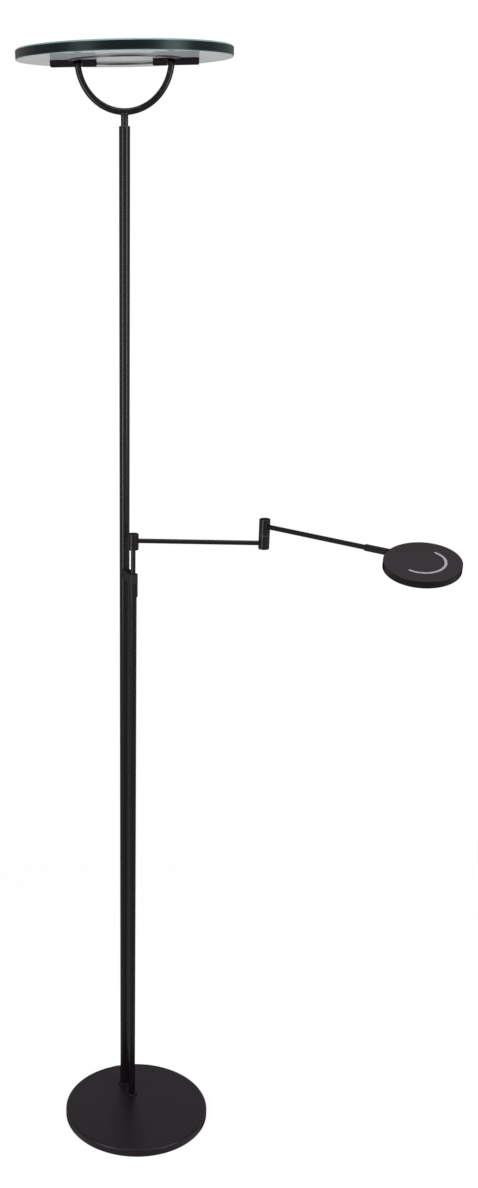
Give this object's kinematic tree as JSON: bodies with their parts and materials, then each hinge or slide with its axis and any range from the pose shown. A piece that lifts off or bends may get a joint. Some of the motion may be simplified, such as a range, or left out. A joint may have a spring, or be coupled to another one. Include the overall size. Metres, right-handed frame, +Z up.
{
  "type": "torchiere floor lamp with reading light",
  "caption": "Uplighter floor lamp: glass disc on a tilting half-round bow, round weighted base, and a height-adjustable jointed arm with a flat reading head.",
  "frame": {"origin": "centre of the round base, on the floor", "axes": "+Z up; the two upright tubes stand behind the centre (+Y), and the cord inlet is in the rear wall (+Y); the reading arm reaches to the front right (+X, -Y)"},
  "size_m": [0.5804, 0.6134, 1.8931],
  "materials": {
    "black_coat": "satin black powder coat",
    "black_head": "matte black coat on aluminium",
    "black_plastic": "matte black moulded",
    "bracket_black": "matte black glass-filled moulding",
    "zinc_steel": "bright zinc plated",
    "black_screw": "black oxide",
    "raw_aluminium": "plain",
    "iron": "as cast, oiled",
    "pad_rubber": "matte",
    "lead_sheath": "matte",
    "driver_case": "matte white",
    "board": "white solder mask",
    "window": "pale grey, satin",
    "opal": "opal white",
    "soft_washer": "dark nylon",
    "clear_glass": "clear, ground edges"
  },
  "bodies": {
    "stand": {"base_pad": "pad_rubber", "base_weight": "iron", "base_cover": "black_coat", "led_driver": "driver_case", "cable_gland": "black_plastic", "main_pole_stud": "zinc_steel", "side_tube_stud": "zinc_steel", "foot_washers": "zinc_steel", "foot_nuts": "zinc_steel", "main_collar": "black_coat", "side_collar": "black_coat", "main_pole_lower": "black_coat", "main_pole_joiner": "zinc_steel", "main_pole_upper": "black_coat", "main_lead": "lead_sheath", "side_tube_lower": "black_coat", "side_tube_joiner": "zinc_steel", "side_tube_upper": "black_coat", "arm_bracket": "bracket_black", "bracket_screw": "black_screw", "bracket_set_screw": "black_screw", "rod_guide_bush": "black_plastic", "pole_top_bush": "black_plastic"},
    "yoke": {"neck_pin": "black_coat", "neck_circlip": "zinc_steel", "yoke_bow": "black_coat"},
    "uplighter": {"pivot_block_right": "black_coat", "pivot_block_left": "black_coat", "tilt_screws": "black_screw", "tilt_washers": "soft_washer", "led_carrier_ring": "raw_aluminium", "led_board": "board", "glass_disc": "clear_glass", "glass_washers": "soft_washer", "glass_screws": "black_screw"},
    "lift": {"lift_rod": "black_coat", "rod_stop": "black_plastic", "thrust_washer": "soft_washer", "swing_screw": "zinc_steel"},
    "arm_lower": {"arm_hub": "black_coat", "hub_cap": "black_coat", "lower_arm": "black_coat", "knuckle_lower": "black_coat", "elbow_set_screw": "black_screw", "elbow_pin": "zinc_steel", "elbow_washer": "soft_washer", "elbow_screw": "zinc_steel"},
    "arm_upper": {"knuckle_upper": "black_coat", "knuckle_cap": "black_coat", "upper_arm": "black_coat", "head_sleeve": "black_coat", "roll_screw": "black_screw"},
    "reading_head": {"head_neck": "black_coat", "reading_head_shell": "black_head", "arc_window": "window", "heat_spreader": "raw_aluminium", "reading_led_board": "board", "head_screws": "zinc_steel", "reading_lens": "opal"}
  },
  "joints": [
    {"name": "uplighter_swivel", "type": "hinge", "parent": "stand", "child": "yoke", "pos_m": [0, 0.0798, 1.7831], "axis": [0, 0, 1], "range_deg": [-170, 170]},
    {"name": "uplighter_tilt", "type": "hinge", "parent": "yoke", "child": "uplighter", "pos_m": [0.00008, 0.07977, 1.8681], "axis": [0.9499, -0.3123, 0.0157], "range_deg": [-45, 45]},
    {"name": "arm_lift", "type": "slide", "parent": "stand", "child": "lift", "axis": [0, 0, 1], "range_m": [-0.03, 0.11]},
    {"name": "arm_swing", "type": "hinge", "parent": "lift", "child": "arm_lower", "pos_m": [0.0028, 0.0391, 1.1351], "axis": [0, 0, 1], "range_deg": [-219.9, 90.1]},
    {"name": "elbow", "type": "hinge", "parent": "arm_lower", "child": "arm_upper", "pos_m": [0.20754, -0.04031, 1.1644], "axis": [0, 0, 1], "range_deg": [-109.7, 190.3]},
    {"name": "reading_head_roll", "type": "hinge", "parent": "arm_upper", "child": "reading_head", "pos_m": [0.32559, -0.25773, 1.179], "axis": [0.4772, -0.8788, 0], "range_deg": [-121.9, 98.1]}
  ]
}
